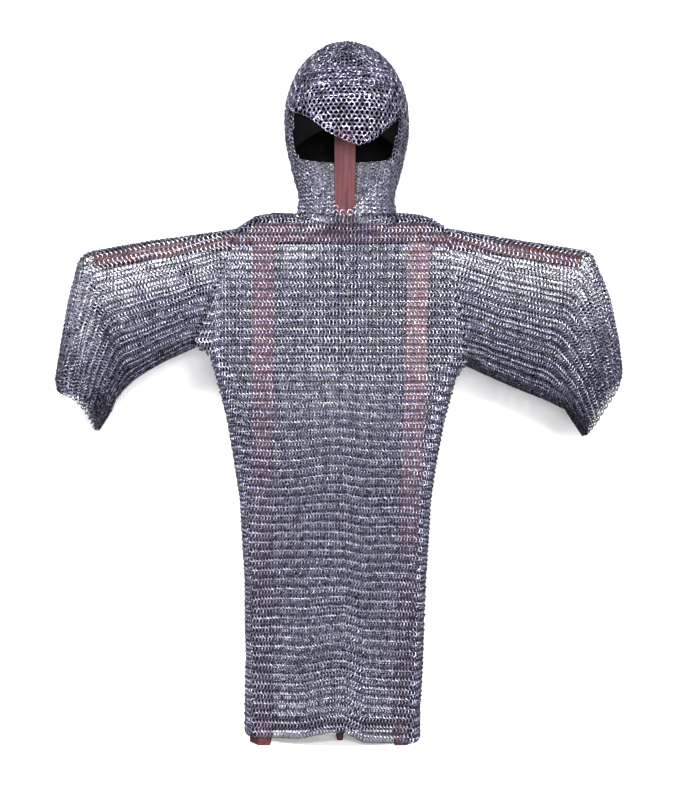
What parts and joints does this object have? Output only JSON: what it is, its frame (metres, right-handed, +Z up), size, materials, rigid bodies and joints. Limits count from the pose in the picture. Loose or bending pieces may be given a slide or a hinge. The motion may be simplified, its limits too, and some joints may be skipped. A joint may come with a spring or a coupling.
{
  "type": "chainmail hauberk with coif on a wooden display stand",
  "caption": "Long chainmail shirt with wide half sleeves and a hood with an open face, spread on a wooden display frame with a dark head form.",
  "frame": {"origin": "on the floor, under the stub foot in the middle of the stand's base rail", "axes": "+Z up, +X to the viewer's right seen from the front, the front of the hauberk faces -Y"},
  "size_m": [1.0143, 0.2452, 1.252],
  "materials": {
    "mail": "bare steel rings, bright where they rub and darker in between",
    "wood": "reddish brown stained softwood, satin",
    "head_form": "matt black"
  },
  "bodies": {
    "root": {"body_front": "mail", "body_back": "mail", "skirt_front": "mail", "skirt_back": "mail", "sleeve_left": "mail", "sleeve_right": "mail", "coif_sides": "mail", "coif_brow": "mail", "coif_crown": "mail", "foot_left": "wood", "foot_right": "wood", "base_rail": "wood", "upright_left": "wood", "upright_right": "wood", "arm_bar_left": "wood", "arm_bar_right": "wood", "shoulder_board": "wood", "neck_post": "wood", "head_form": "head_form"}
  },
  "joints": []
}
